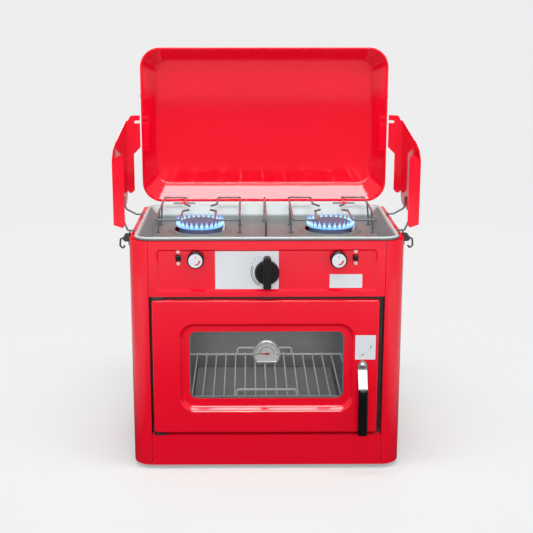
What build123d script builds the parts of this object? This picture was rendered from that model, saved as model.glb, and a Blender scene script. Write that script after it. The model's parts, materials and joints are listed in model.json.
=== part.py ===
from build123d import *
from math import cos, pi
import os

# Camp oven with a two-burner hob under a lift-up lid, all sizes in millimetres.
# X runs to the right and Z up. While the pieces are drawn, Y is the depth behind
# the front face, and the whole stove is moved to its centre as it is saved.

# Cabinet
BODY_W = 450
BODY_D = 290
BODY_TOP = 394
FOOT_H = 7
CORNER_R = 32
BACK_R = 4
SHEET = 1.0
SEAM_X = 192.8
PANEL_X = 192.2
LEDGE = 12

# Front, from the floor up
KICK_TOP = 61
DOOR_Z0 = 66
DOOR_Z1 = 296
CONTROL_Z0 = 302
RECESS_X = 179
RECESS_Z0 = 311
RECESS_Z1 = 381
RECESS_DEPTH = 3

# Controls
BURNER_X = 115
KNOB_Z = 366
OVEN_KNOB_Z = 343
IGNITER_X = 143.5
IGNITER_Z = 367
BUTTON_W = 8
BUTTON_H = 8.5
STEM_R = 3
RUNNING = 0.05

# Oven
OVEN_X = 176
OVEN_Y0 = 14.5
OVEN_Y1 = 262
OVEN_Z0 = 66
OVEN_Z1 = 293
LINER = 0.8
RAIL_Z = 115
RAIL_X = 170.5
RACK_Z = 118.8
RACK_X = 168.5
RACK_Y0 = 26
RACK_Y1 = 240
RACK_PITCH = 18

# Door
DOOR_X = 188
DOOR_RIGHT = 184
DOOR_FRONT = -2
DOOR_BACK = 10
HINGE_X = -182
HINGE_Y = 4
GLASS_X = 128
GLASS_Z0 = 124
GLASS_Z1 = 241
GLASS_Y = 6
DISH_X = 144.5
DISH_Z0 = 103
DISH_Z1 = 257
DISH_R = 25
DISH_SLOPE = 7.5
HANDLE_X = 158
HANDLE_Z = 186
GRIP_Y = -24
GRIP_LOW = 70
GRIP_HIGH = 150
GAUGE_Z = 203
GAUGE_R = 23
GAUGE_FLAT_Z = 187
GAUGE_CORNER = 4.5

# Hob
TRAY_X = 213.5
TRAY_Y0 = 7
TRAY_Y1 = 283
TRAY_FLOOR = 374
BEAD_R = 3.2
BEAD_Z = BODY_TOP + BEAD_R
BURNER_Y = 168
PLATEAU = 378
HOLE_R = 45
HEAD_R = 38
HEAD_TOP = 388
GRATE_Z = 415
GRATE_WIRE = 1.8
GRATE_LEG = 1.6
GRATE_Y0 = 70
GRATE_Y1 = 272

# Gas supply
MANIFOLD_Y = 42
MANIFOLD_Z = 350
MANIFOLD_R = 6
INLET_Y = 232
MIXER_Z = 364
MIXER_R = 7

# Lid, drawn standing open
LID_X = 226
LID_Z0 = 404.5
LID_H = 282
LID_DEPTH = 50
LID_DRAFT = 22
LID_R = 34
HEM = 2
LID_AXIS_Y = 293.5
LID_AXIS_Z = 398
LID_Y = LID_AXIS_Y + 3
KNUCKLE_R = 3.5
PIN_R = 1.5

# Wind guards, drawn standing up
GUARD_X = 254
GUARD_Y0 = 63
GUARD_Y1 = 269.5
GUARD_Z0 = 408
GUARD_FRONT_TOP = 516
GUARD_TOP = 558
GUARD_TAB_TOP = 567
GUARD_GAP = 0.6
GUARD_CORNER = 26
FLANGE_Z0 = 424
GUARD_PIVOT_X = 219.8
GUARD_PIVOT_Z = 398
ROD_R = 1.6
ROD_YS = (66, 200)
ROD_KNEE_X = 231
ROD_KNEE_RISE = 0.6
EYELET_R = 2.8

# Side latches
LATCH_Y = 47
LATCH_PIN_X = 231.2
LATCH_PIN_Z = 391

GRIP_FRONT = GRIP_Y - 7
LID_BACK = LID_Y + LID_DEPTH
MID_Y = (GRIP_FRONT + LID_BACK) / 2


def facing(y):
    """A plane that faces the viewer at depth y, with X and Z as its own axes."""
    return Plane(origin=(0, y, 0), x_dir=(1, 0, 0), z_dir=(0, -1, 0))


def outline(x0, x1, z0, z1, r):
    """A rounded rectangle given by its sides."""
    return Pos((x0 + x1) / 2, (z0 + z1) / 2) * RectangleRounded(x1 - x0, z1 - z0, r)


def plate(x0, x1, z0, z1, y0, y1, r=0.5):
    """An upright sheet between depths y0 and y1."""
    return extrude(facing(y1) * outline(x0, x1, z0, z1, r), amount=y1 - y0)


def block(x0, x1, y0, y1, z0, z1):
    """A box given by its faces."""
    centre = Pos((x0 + x1) / 2, (y0 + y1) / 2, (z0 + z1) / 2)
    return centre * Box(x1 - x0, y1 - y0, z1 - z0)


def round_y(x, z, r, y0, y1):
    """A round bar from front to back."""
    return Pos(x, (y0 + y1) / 2, z) * Rot(90, 0, 0) * Cylinder(r, y1 - y0)


def round_x(y, z, r, x0, x1):
    """A round bar from side to side."""
    return Pos((x0 + x1) / 2, y, z) * Rot(0, 90, 0) * Cylinder(r, x1 - x0)


def round_z(x, y, r, z0, z1):
    """An upright round bar."""
    return Pos(x, y, (z0 + z1) / 2) * Cylinder(r, z1 - z0)


def wire(points, r, bend):
    """A bar of radius r bent along straight runs."""
    path = Polyline(*points) if len(points) == 2 else FilletPolyline(*points, radius=bend)
    return sweep((path ^ 0) * Circle(r), path=path)


def ring(face, r):
    """A bar of radius r bent round the edge of a face."""
    path = face.face().outer_wire()
    return sweep((path ^ 0) * Circle(r), path=path)


def turned(x, y, points):
    """A turned piece with an upright axis, from its radius and height points."""
    profile = Plane.XZ * make_face(Polyline(*points, close=True))
    return Pos(x, y, 0) * revolve(profile, axis=Axis.Z)


def right(shape):
    """The mirror image of a left-hand piece."""
    return mirror(shape, about=Plane.YZ)


def pair(shape):
    """A left-hand piece together with its mirror image."""
    return Part() + [shape, right(shape)]


def save(name, shape):
    export_step(Pos(0, -MID_Y, 0) * shape, f"parts/{name}.step")


# Cabinet: wrapped side panels, back, base and front panels

def body_plan(inset):
    """The cabinet seen from above, with its two round front corners."""
    plan = Pos(0, BODY_D / 2) * Rectangle(BODY_W - 2 * inset, BODY_D - 2 * inset)
    plan = fillet(plan.vertices().group_by(Axis.Y)[0], CORNER_R - inset)
    return fillet(plan.vertices().group_by(Axis.Y)[-1], BACK_R)


def side_panel():
    """Left side sheet that wraps round the front corner, with a folded ledge on top."""
    height = BODY_TOP - FOOT_H
    wall = extrude(body_plan(0) - body_plan(SHEET), amount=height)
    ledge = extrude(body_plan(0) - body_plan(LEDGE), amount=SHEET)
    wrap = Pos(0, 0, FOOT_H) * wall + Pos(0, 0, BODY_TOP - SHEET) * ledge + Pos(0, 0, FOOT_H) * ledge
    panel = wrap & block(-BODY_W, -SEAM_X, -10, BODY_D + 10, 0, BODY_TOP + 10)
    jamb = block(-SEAM_X - SHEET, -SEAM_X, 0.2, LEDGE + 1.5, FOOT_H + 2.5 * SHEET, BODY_TOP)
    return panel + jamb


def back_panel():
    """Back sheet with two rows of flue slots."""
    sheet = plate(-SEAM_X + 0.4, SEAM_X - 0.4, FOOT_H, BODY_TOP, BODY_D - SHEET, BODY_D)
    slots = [
        round_ended_slot(x, z)
        for z in (320, 336)
        for x in range(-105, 106, 42)
    ]
    return sheet - slots


def round_ended_slot(x, z):
    return extrude(facing(BODY_D + 1) * Pos(x, z) * SlotOverall(30, 6), amount=SHEET + 2)


def base_pan():
    """Floor sheet with air slots under the oven burner."""
    sheet = Pos(0, 0, FOOT_H + SHEET) * extrude(body_plan(SHEET + 0.2), amount=SHEET)
    slots = [
        Pos(x, BODY_D / 2, FOOT_H) * extrude(SlotOverall(60, 8, rotation=90), amount=4)
        for x in range(-90, 91, 36)
    ]
    return sheet - slots


def feet():
    """Four turned rubber feet."""
    profile = [(0, 0), (9, 0), (11, 2), (11, FOOT_H), (0, FOOT_H)]
    left = turned(-200, 34, profile) + turned(-200, 262, profile)
    return pair(left)


def control_panel():
    """Front sheet of the controls, with the long recess that the knobs stand in."""
    sheet = plate(-PANEL_X, PANEL_X, CONTROL_Z0, BODY_TOP, 0, SHEET)
    top = block(-PANEL_X, PANEL_X, 0, LEDGE, BODY_TOP - SHEET, BODY_TOP)
    bottom = block(-PANEL_X, PANEL_X, 0, LEDGE, CONTROL_Z0, CONTROL_Z0 + SHEET)
    slope = 3

    def pocket(grow, depth):
        mouth = outline(-RECESS_X - grow, RECESS_X + grow, RECESS_Z0 - grow, RECESS_Z1 + grow, 7 + grow)
        bed = outline(
            -RECESS_X + slope - grow, RECESS_X - slope + grow,
            RECESS_Z0 + slope - grow, RECESS_Z1 - slope + grow, 4 + grow,
        )
        return loft([facing(0) * mouth, facing(depth) * bed], ruled=True)

    panel = sheet + top + bottom + pocket(SHEET, RECESS_DEPTH + SHEET) - pocket(0, RECESS_DEPTH)
    for x in (-BURNER_X, BURNER_X):
        panel -= round_y(x, KNOB_Z, 5, -1, 6)
    panel -= round_y(0, OVEN_KNOB_Z, 6, -1, 6)
    for x in (-IGNITER_X, IGNITER_X):
        panel -= block(x - BUTTON_W / 2 - 0.5, x + BUTTON_W / 2 + 0.5, -1, 6,
                       IGNITER_Z - BUTTON_H / 2 - 0.5, IGNITER_Z + BUTTON_H / 2 + 0.5)
    return panel


def lower_front_panel():
    """Kick panel under the door, folded back along its top."""
    sheet = plate(-PANEL_X, PANEL_X, FOOT_H, KICK_TOP, 0, SHEET)
    return sheet + block(-PANEL_X, PANEL_X, 0, LEDGE, KICK_TOP - SHEET, KICK_TOP)


# Oven: front frame, liner, seal, rack and burner

MOUTH_X = 172
MOUTH_Z0 = 76
MOUTH_Z1 = 286
MOUTH_R = 6
FRAME_Y = 13.5


def front_frame():
    """Sheet ring round the oven's mouth."""
    sheet = plate(-PANEL_X, PANEL_X, KICK_TOP + 0.5, CONTROL_Z0 - 0.5, FRAME_Y, FRAME_Y + SHEET)
    return sheet - plate(-MOUTH_X, MOUTH_X, MOUTH_Z0, MOUTH_Z1, FRAME_Y - 1, FRAME_Y + 3, MOUTH_R)


def door_seal():
    """Flat braided seal on the frame, just outside the mouth."""
    thick = 1.2

    def loop(grow, y0, y1):
        x = MOUTH_X + grow
        return plate(-x, x, MOUTH_Z0 - grow, MOUTH_Z1 + grow, y0, y1, MOUTH_R + grow)

    return loop(5, FRAME_Y - thick, FRAME_Y) - loop(1, FRAME_Y - 3, FRAME_Y + 1)


def oven_floor():
    """Liner floor with a row of air slots along each side."""
    sheet = block(-OVEN_X, OVEN_X, OVEN_Y0, OVEN_Y1, OVEN_Z0 - LINER, OVEN_Z0)
    slots = [
        Pos(x, y, OVEN_Z0 - 2) * extrude(SlotOverall(30, 6, rotation=90), amount=4)
        for x in (-155, 155)
        for y in range(50, 231, 45)
    ]
    return sheet - slots


def oven_side_walls():
    """Left and right liner walls, each with two pressed stiffening ribs."""
    wall = block(-OVEN_X - LINER, -OVEN_X, OVEN_Y0, OVEN_Y1 + LINER, OVEN_Z0 - LINER, OVEN_Z1 + LINER)
    for z in (165, 250):
        rib = Pos(-OVEN_X - LINER, (OVEN_Y0 + OVEN_Y1) / 2, z) * Rot(90, 0, 0) * Cylinder(4, 180)
        wall += rib & block(-OVEN_X - 10, -OVEN_X - LINER, 0, BODY_D, 0, BODY_TOP)
    return pair(wall)


def rack_runners():
    """Two wire rails on each wall, tied by upright wires, that carry the rack."""
    r = 2
    wall = -OVEN_X + r
    rails = [wire([(-RAIL_X, 20, z), (-RAIL_X, 250, z)], r, 1) for z in (RAIL_Z, 185)]
    posts = [wire([(wall, y, OVEN_Z0), (wall, y, 186)], r, 1) for y in (48, 222)]
    return pair(Part() + rails + posts)


def oven_rack():
    """Wire shelf with upturned stops at the front and the back."""
    r = 2
    thin = 1.3
    half = RACK_X
    edge = Pos(0, (RACK_Y0 + RACK_Y1) / 2, RACK_Z) * RectangleRounded(2 * half, RACK_Y1 - RACK_Y0, 10)
    frame = ring(edge, r)
    bars = []
    count = int(half // RACK_PITCH)
    for i in range(-count + 1, count):
        x = i * RACK_PITCH
        bars.append(round_y(x, RACK_Z + 2.4, thin, RACK_Y0 - 1, RACK_Y1 + 1))
    stops = [
        wire([(-51, y, RACK_Z), (-51, y, RACK_Z + 13), (51, y, RACK_Z + 13), (51, y, RACK_Z)], r, 5)
        for y in (RACK_Y0, RACK_Y1)
    ]
    return Part() + [frame] + bars + stops


def flame_spreader():
    """Folded cover over the oven burner, with heat slots along both skirts."""
    top = 96
    half = 128
    outer = block(-half, half, 48, 232, OVEN_Z0, top)
    inner = block(-half + 1, half - 1, 40, 240, OVEN_Z0 - 1, top - 1)
    bend = 5
    outer = fillet(outer.edges().filter_by(Axis.Y).group_by(Axis.Z)[-1], bend)
    inner = fillet(inner.edges().filter_by(Axis.Y).group_by(Axis.Z)[-1], bend - 1)
    slots = [block(-half - 2, half + 2, y - 9, y + 9, OVEN_Z0 + 8, OVEN_Z0 + 16) for y in range(70, 216, 28)]
    return outer - inner - slots


BURNER_TUBE_R = 8
BURNER_TUBE_Z = 80
BURNER_TUBE_X = 60
SUPPLY_Y = 276


def oven_burner():
    """Hairpin tube burner with its feed block behind the oven's back wall."""
    x = BURNER_TUBE_X
    z = BURNER_TUBE_Z
    loop = wire([(x, SUPPLY_Y - 4, z), (x, 80, z), (-x, 80, z), (-x, 215, z)], BURNER_TUBE_R, 40)
    feed = block(x - 10, x + 10, SUPPLY_Y - 8, SUPPLY_Y + 8, z - 10, z + 10)
    ports = [
        round_z(side * x, y, 1.5, z, z + 10)
        for side in (-1, 1)
        for y in range(135, 206, 14)
    ]
    return loop + feed - ports


def oven_back_wall():
    sheet = plate(-OVEN_X, OVEN_X, OVEN_Z0, OVEN_Z1, OVEN_Y1, OVEN_Y1 + LINER)
    return sheet - round_y(BURNER_TUBE_X, BURNER_TUBE_Z, BURNER_TUBE_R + 0.1, OVEN_Y1 - 5, OVEN_Y1 + 5)


def oven_roof():
    """Liner roof with flue slots at the back."""
    sheet = block(-OVEN_X, OVEN_X, OVEN_Y0, OVEN_Y1 + LINER, OVEN_Z1, OVEN_Z1 + LINER)
    flue = extrude(SlotOverall(36, 8), amount=5)
    return sheet - [Pos(x, 240, OVEN_Z1 - 2) * flue for x in range(-100, 101, 50)]


# Gas supply: inlet, manifold, valves and mixing tubes

def gas_manifold():
    """Bent supply tube behind the controls that runs back to the inlet."""
    x = 206
    return wire([(-BURNER_X - 14, MANIFOLD_Y, MANIFOLD_Z), (x, MANIFOLD_Y, MANIFOLD_Z),
                 (x, INLET_Y, MANIFOLD_Z), (x + 14, INLET_Y, MANIFOLD_Z)], MANIFOLD_R, 12.5)


INLET_X = 220
FLARE_R = 7.9
FLARE_X = 233


def gas_inlet():
    """Brass flare fitting held in the right side panel."""
    shank = round_x(INLET_Y, MANIFOLD_Z, 8, INLET_X, BODY_W / 2)
    hexagon = Plane(origin=(BODY_W / 2, INLET_Y, MANIFOLD_Z), z_dir=(1, 0, 0)) * RegularPolygon(12, 6)
    stud = round_x(INLET_Y, MANIFOLD_Z, FLARE_R, FLARE_X - 2, FLARE_X + 15)
    bore = round_x(INLET_Y, MANIFOLD_Z, 3, INLET_X - 1, FLARE_X + 20)
    return shank + extrude(hexagon, amount=FLARE_X - BODY_W / 2) + stud - bore


VALVE_Y0 = RECESS_DEPTH + SHEET + 0.2
STEM_DEPTH = 14


def burner_valve():
    """Tap of the left burner, standing on the manifold, with its jet at the back."""
    tap = round_y(-BURNER_X, KNOB_Z, 8, VALVE_Y0, 50) + round_y(-BURNER_X, KNOB_Z, 2.5, 50, 57)
    neck = round_z(-BURNER_X, MANIFOLD_Y, 4.5, MANIFOLD_Z, KNOB_Z)
    tube = round_x(MANIFOLD_Y, MANIFOLD_Z, MANIFOLD_R, -BURNER_X - 12, -BURNER_X + 12)
    return tap + neck - tube - round_y(-BURNER_X, KNOB_Z, STEM_R + RUNNING, 0, STEM_DEPTH)


def oven_valve():
    """Thermostat tap of the oven in front of the manifold."""
    tap = round_y(0, OVEN_KNOB_Z, 14, VALVE_Y0, 34)
    neck = round_y(0, MANIFOLD_Z, 4.5, 30, MANIFOLD_Y)
    tube = round_x(MANIFOLD_Y, MANIFOLD_Z, MANIFOLD_R, -12, 12)
    return tap + neck - tube - round_y(0, OVEN_KNOB_Z, STEM_R + RUNNING, 0, STEM_DEPTH)


def oven_gas_line():
    """Thin tube from the thermostat tap round the oven to its burner."""
    side = 203
    y = 26
    z = 336
    line = wire([(6, y, z), (side, y, z), (side, SUPPLY_Y, z), (side, SUPPLY_Y, BURNER_TUBE_Z),
                 (BURNER_TUBE_X + 10, SUPPLY_Y, BURNER_TUBE_Z)], 3, 10)
    return line - round_y(0, OVEN_KNOB_Z, 14, VALVE_Y0, 34)


def bowl_points(grow=0):
    return [(0, 356), (18, 356), (HEAD_R + grow, 374), (HEAD_R + grow, HEAD_TOP), (0, HEAD_TOP)]


def mixer_tube():
    """Mixing tube of the left burner, belled round the jet."""
    tube = round_y(-BURNER_X, MIXER_Z, MIXER_R, 60, BURNER_Y - 10)
    bell = Plane(origin=(-BURNER_X, 60, MIXER_Z), z_dir=(0, -1, 0))
    tube += extrude(bell * Circle(MIXER_R), amount=7, taper=-12)
    tube -= round_y(-BURNER_X, MIXER_Z, MIXER_R - 1, 40, BURNER_Y - 14)
    return tube - turned(-BURNER_X, BURNER_Y, bowl_points())


# Hob: drip tray, burner heads, igniters and pot supports

def tray_plan(x, y0, y1, r):
    return Pos(0, (y0 + y1) / 2) * RectangleRounded(2 * x, y1 - y0, r)


def drip_tray():
    """Pressed tray with a rolled rim and a raised ring round each burner hole."""
    skin = 0.8
    flange = 5
    inset = 19
    top = BEAD_Z + skin

    def bowl(grow, floor):
        mouth = tray_plan(TRAY_X - flange + grow, TRAY_Y0 + flange - grow, TRAY_Y1 - flange + grow, 18 + grow)
        bed = tray_plan(TRAY_X - inset + grow, TRAY_Y0 + inset - grow, TRAY_Y1 - inset + grow, 11 + grow)
        return loft([Pos(0, 0, floor) * bed, Pos(0, 0, top) * mouth], ruled=True)

    rim = tray_plan(TRAY_X, TRAY_Y0, TRAY_Y1, 23)
    tray = Pos(0, 0, BEAD_Z) * extrude(rim, amount=skin) + bowl(skin, TRAY_FLOOR) - bowl(0, TRAY_FLOOR + skin)
    tray += ring(Pos(0, 0, BEAD_Z) * rim, BEAD_R)
    for x in (-BURNER_X, BURNER_X):
        foot = HOLE_R + 11
        ledge = HOLE_R + 5
        tray -= round_z(x, BURNER_Y, foot, TRAY_FLOOR - 1, TRAY_FLOOR + 2)
        tray += turned(x, BURNER_Y, [
            (foot, TRAY_FLOOR), (ledge, PLATEAU), (HOLE_R, PLATEAU), (HOLE_R, PLATEAU + skin),
            (ledge + 0.4, PLATEAU + skin), (foot + 0.4, TRAY_FLOOR + skin), (foot + 0.4, TRAY_FLOOR),
        ])
    return tray


PORTS = 28


def burner_head():
    """Left burner bowl with slots for the flames and tabs under the tray."""
    wall = 2
    hollow = [(0, 358), (17, 358), (HEAD_R - wall, 375), (HEAD_R - wall, HEAD_TOP + 1), (0, HEAD_TOP + 1)]
    head = turned(-BURNER_X, BURNER_Y, bowl_points()) - turned(-BURNER_X, BURNER_Y, hollow)
    cuts = []
    for i in range(PORTS):
        slot = Pos(HEAD_R, 0, HEAD_TOP) * Box(10, 3, 6)
        cuts.append(Pos(-BURNER_X, BURNER_Y, 0) * Rot(0, 0, (i + 0.5) * 360 / PORTS) * slot)
    head -= cuts
    for turn in (58, 122, 238, 302):
        tab = block(HEAD_R - wall, HOLE_R + 4, -5, 5, PLATEAU - 1.2, PLATEAU)
        head += Pos(-BURNER_X, BURNER_Y, 0) * Rot(0, 0, turn) * tab
    return head - round_y(-BURNER_X, MIXER_Z, MIXER_R - 1, 100, BURNER_Y - 5)


def burner_cap():
    """Domed cap of the left burner, dished in the middle."""
    return turned(-BURNER_X, BURNER_Y, [
        (0, HEAD_TOP + 2), (12, HEAD_TOP + 2), (20, HEAD_TOP), (HEAD_R + 1, HEAD_TOP),
        (HEAD_R + 1, HEAD_TOP + 1.5), (HEAD_R - 5, HEAD_TOP + 5), (16, HEAD_TOP + 5),
        (8, HEAD_TOP + 3.5), (0, HEAD_TOP + 3.5),
    ])


def electrode(x):
    """Ceramic spark rod clipped to the right of a burner."""
    centre = HEAD_R + 3.5
    rod = round_z(x + centre, BURNER_Y, 2, 362, HEAD_TOP)
    rod += round_z(x + centre, BURNER_Y, 0.8, HEAD_TOP, HEAD_TOP + 3)
    clip = block(x + 30, x + centre, BURNER_Y - 3, BURNER_Y + 3, 376, 378)
    return rod + clip - turned(x, BURNER_Y, bowl_points())


def igniter():
    """Left piezo igniter behind the panel, with the square well of its button."""
    case = block(-IGNITER_X - 6, -IGNITER_X + 6, VALVE_Y0 - 0.2, 32, IGNITER_Z - 6, IGNITER_Z + 6)
    case = fillet(case.edges().filter_by(Axis.Y), 1.2) + round_y(-IGNITER_X, IGNITER_Z, 2, 32, 38)
    well = block(-IGNITER_X - BUTTON_W / 2 - 0.3, -IGNITER_X + BUTTON_W / 2 + 0.3, 0, 16,
                 IGNITER_Z - BUTTON_H / 2 - 0.3, IGNITER_Z + BUTTON_H / 2 + 0.3)
    return case - well


def igniter_button():
    push = block(-IGNITER_X - BUTTON_W / 2, -IGNITER_X + BUTTON_W / 2, -3.5, 11,
                 IGNITER_Z - BUTTON_H / 2, IGNITER_Z + BUTTON_H / 2)
    return fillet(push.edges().group_by(Axis.Y)[0], 1.2)


def pot_wire(outer_x, prong_x, tip_x, leg_slope):
    """One bent pot support beside a burner, with two legs on the tray floor."""
    z = GRATE_Z
    gap = BURNER_Y - 22
    reach = BURNER_Y - 12
    points = [(tip_x, reach, z), (prong_x, gap, z), (prong_x, GRATE_Y0, z), (outer_x, GRATE_Y0, z),
              (outer_x, GRATE_Y1, z), (prong_x, GRATE_Y1, z), (prong_x, 2 * BURNER_Y - gap + 20, z),
              (tip_x, 2 * BURNER_Y - reach + 10, z)]
    support = wire(points, GRATE_WIRE, 5)
    floor = TRAY_FLOOR + 0.8
    drop = z - floor
    for y in (150, 215):
        foot_x = outer_x + leg_slope * drop
        support += wire([(outer_x, y, z), (foot_x, y, floor + 1.2)], GRATE_LEG, 1)
        support += round_z(foot_x, y, 3.5, floor + 0.3, floor + 2.5)
    return support


def pot_support():
    """The two bent wires of the left burner."""
    outer = pot_wire(-BURNER_X - 70, -BURNER_X - 29, -BURNER_X - 19, -0.08)
    inner = pot_wire(-BURNER_X + 70, -BURNER_X + 29, -BURNER_X + 19, 0)
    return Part() + [outer, inner]


def centre_support():
    """Single wire between the burners, with a leg at each end."""
    floor = TRAY_FLOOR + 1.1
    legs = (104, GRATE_Y1 - 26)
    bar = wire([(0, legs[0], floor + 2.5), (0, GRATE_Y0, GRATE_Z), (0, GRATE_Y1, GRATE_Z),
                (0, legs[1], floor + 2.5)], GRATE_WIRE, 4)
    pads = [round_z(0, y, 3.5, floor, floor + 3.5) for y in legs]
    return bar + pads


# Controls that a hand turns

def burner_knob():
    """Left tap knob with a rounded rim and a dished face."""
    front = -15
    profile = Polyline((0, -2.4), (12, -2.4), (13.4, 0), (13.4, 12.8), (12, 14.6), (10, -front), (9, 14.2),
                       (0, 14.2), close=True)
    knob = Pos(-BURNER_X, 0, KNOB_Z) * Rot(90, 0, 0) * revolve(Plane.XZ * make_face(profile), axis=Axis.Z)
    return knob + round_y(-BURNER_X, KNOB_Z, STEM_R, 1, STEM_DEPTH - 2)


def oven_knob():
    """Oven thermostat knob: a skirt with a tall grip bar."""
    profile = Polyline((0, -2.4), (20, -2.4), (20, 5), (18, 9), (0, 9), close=True)
    skirt = Pos(0, 0, OVEN_KNOB_Z) * Rot(90, 0, 0) * revolve(Plane.XZ * make_face(profile), axis=Axis.Z)
    bar = extrude(facing(-8) * Pos(0, OVEN_KNOB_Z + 2.5) * RectangleRounded(13, 54, 5), amount=15)
    bar = fillet(bar.edges().group_by(Axis.Y)[0], 2)
    bar -= block(-20, 20, -30, -8.9, OVEN_KNOB_Z - 40, OVEN_KNOB_Z - 23)
    return skirt + bar + round_y(0, OVEN_KNOB_Z, STEM_R, 1, STEM_DEPTH - 2)


# Door: pressed front, liner, window, gauge and lever handle

def window_dish(grow, bed_y):
    """The surround that bends down smoothly from the door's face to the window's bed."""
    layers = 6
    levels = []
    for i in range(layers + 1):
        inset = DISH_SLOPE * i / layers - grow
        sunk = (bed_y - DOOR_FRONT) * (1 - cos(pi * i / layers)) / 2
        levels.append(facing(DOOR_FRONT + sunk) * outline(
            -DISH_X + inset, DISH_X - inset, DISH_Z0 + inset, DISH_Z1 - inset, DISH_R - inset))
    return loft(levels, ruled=True)


HINGE_PIN_R = 2.5


def door_panel():
    """Red door pressing with folded edges and the sunk window surround."""
    outer = plate(-DOOR_X, DOOR_RIGHT, DOOR_Z0, DOOR_Z1, DOOR_FRONT, DOOR_BACK, 4)
    outer = fillet(outer.edges().group_by(Axis.Y)[0], 2)
    inner = plate(-DOOR_X + SHEET, DOOR_RIGHT - SHEET, DOOR_Z0 + SHEET, DOOR_Z1 - SHEET,
                  DOOR_FRONT + SHEET, DOOR_BACK + 1, 3)
    door = outer - inner + window_dish(SHEET, GLASS_Y) - window_dish(0, GLASS_Y - SHEET)
    door -= plate(-GLASS_X, GLASS_X, GLASS_Z0, GLASS_Z1, 0, GLASS_Y + 4, 12)
    door -= round_z(HINGE_X, HINGE_Y, HINGE_PIN_R + RUNNING, DOOR_Z0 - 2, DOOR_Z1 + 2)
    return door - round_y(HANDLE_X, HANDLE_Z, 4 + RUNNING, -5, 15)


def door_liner():
    """Inner door sheet with its window."""
    sheet = plate(-DOOR_X + 1.2, DOOR_RIGHT - 1.2, DOOR_Z0 + 1.2, DOOR_Z1 - 1.2, DOOR_BACK - 1, DOOR_BACK, 3)
    sheet -= plate(-GLASS_X + 2, GLASS_X - 2, GLASS_Z0 + 2, GLASS_Z1 - 2, 0, DOOR_BACK + 4, 10)
    return sheet - round_y(HANDLE_X, HANDLE_Z, 4 + RUNNING, -5, 15)


def door_glass():
    return plate(-GLASS_X - 6, GLASS_X + 6, GLASS_Z0 - 6, GLASS_Z1 + 6, GLASS_Y, DOOR_BACK - 1, 14)


def door_hinges():
    """Top and bottom hinge brackets with the pins that the door swings on."""
    reach = 9
    brackets = []
    upper = (DOOR_Z1 + 1, CONTROL_Z0, DOOR_Z1 - reach)
    lower = (KICK_TOP, DOOR_Z0 - 1, DOOR_Z0 + reach)
    for low, high, tip in (upper, lower):
        arm = block(HINGE_X - 6, HINGE_X + 14, HINGE_Y - 5, LEDGE - 1, low, high)
        pin = round_z(HINGE_X, HINGE_Y, HINGE_PIN_R, min(low, tip), max(high, tip))
        brackets.append(fillet(arm.edges().filter_by(Axis.Z), 2) + pin)
    return Part() + brackets


def door_catch():
    """Small catch that hangs from the control panel over the middle of the door."""
    body = block(-4.5, 4.5, 1.5, 9, DOOR_Z1 + 1.5, CONTROL_Z0)
    return fillet(body.edges().filter_by(Axis.Y).group_by(Axis.Z)[0], 2)


def gauge_face(inset):
    """The gauge's outline: a disc cut flat along its foot, with round lower corners."""
    disc = Pos(0, GAUGE_Z) * Circle(GAUGE_R - inset)
    face = disc & Pos(0, GAUGE_FLAT_Z + inset + GAUGE_R) * Rectangle(4 * GAUGE_R, 2 * GAUGE_R)
    return fillet(face.vertices(), GAUGE_CORNER - inset)


def gauge_case():
    """Oven thermometer case that stands on the glass, with a raised rim."""
    case = extrude(facing(GLASS_Y) * gauge_face(0), amount=7)
    case = fillet(case.edges().group_by(Axis.Y)[0], 1)
    case -= extrude(facing(GLASS_Y - 2) * gauge_face(2), amount=8)
    return case - round_y(0, GAUGE_Z, 0.8 + RUNNING, GLASS_Y - 3, GLASS_Y - 0.5)


def gauge_lens():
    return extrude(facing(0.8) * gauge_face(2.1), amount=1)


def gauge_needle():
    """Pointer on a short arbor in the gauge, lying at the cold end of the scale."""
    hand = Polyline((5, -1.4), (5, 1.4), (-16, 0.4), (-16, -0.4), close=True)
    pointer = extrude(facing(3) * Pos(0, GAUGE_Z) * make_face(hand), amount=0.6)
    return pointer + round_y(0, GAUGE_Z, 2, 2.2, 3.2) + round_y(0, GAUGE_Z, 0.8, 3, GLASS_Y - 1)


STRAP = 1.6
STRAP_W = 15


def door_handle():
    """Steel lever: an eye on the spindle, then a strap that stands off towards the grip."""
    y = DOOR_FRONT - 2.4
    near = GRIP_Y - STRAP / 2
    far = GRIP_Y + STRAP / 2
    side = make_face(Polyline(
        (y, HANDLE_Z + 8), (y, HANDLE_Z - 8), (far, GRIP_HIGH - 6), (far, GRIP_HIGH - 40),
        (near, GRIP_HIGH - 40), (near, GRIP_HIGH - 6), (y - STRAP, HANDLE_Z - 8),
        (y - STRAP, HANDLE_Z + 8), close=True))
    section = Plane(origin=(HANDLE_X - STRAP_W / 2, 0, 0), x_dir=(0, 1, 0), z_dir=(1, 0, 0)) * side
    strap = extrude(section, amount=STRAP_W)
    eye = facing(10) * (Pos(HANDLE_X, HANDLE_Z) * Circle(STRAP_W / 2)
                        + Pos(HANDLE_X, HANDLE_Z - 50) * Rectangle(STRAP_W, 100))
    strap &= extrude(eye, amount=60)
    spindle = round_y(HANDLE_X, HANDLE_Z, 4, y - STRAP - 2, DOOR_BACK + 2.1)
    washer = round_y(HANDLE_X, HANDLE_Z, 6.5, y, DOOR_FRONT - 0.4)
    return strap + spindle + washer


def handle_grip():
    """Moulded grip with two shallow grooves, pushed over the end of the strap."""
    grip = Pos(HANDLE_X, GRIP_Y, GRIP_LOW) * extrude(RectangleRounded(16, 14, 5), amount=GRIP_HIGH - GRIP_LOW)
    grip = fillet(grip.edges().group_by(Axis.Z)[0] + grip.edges().group_by(Axis.Z)[-1], 3)
    for x in (HANDLE_X - 2.4, HANDLE_X + 2.4):
        grip -= round_z(x, GRIP_FRONT, 0.8, GRIP_LOW + 12, GRIP_HIGH - 10)
    return grip - door_handle()


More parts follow.
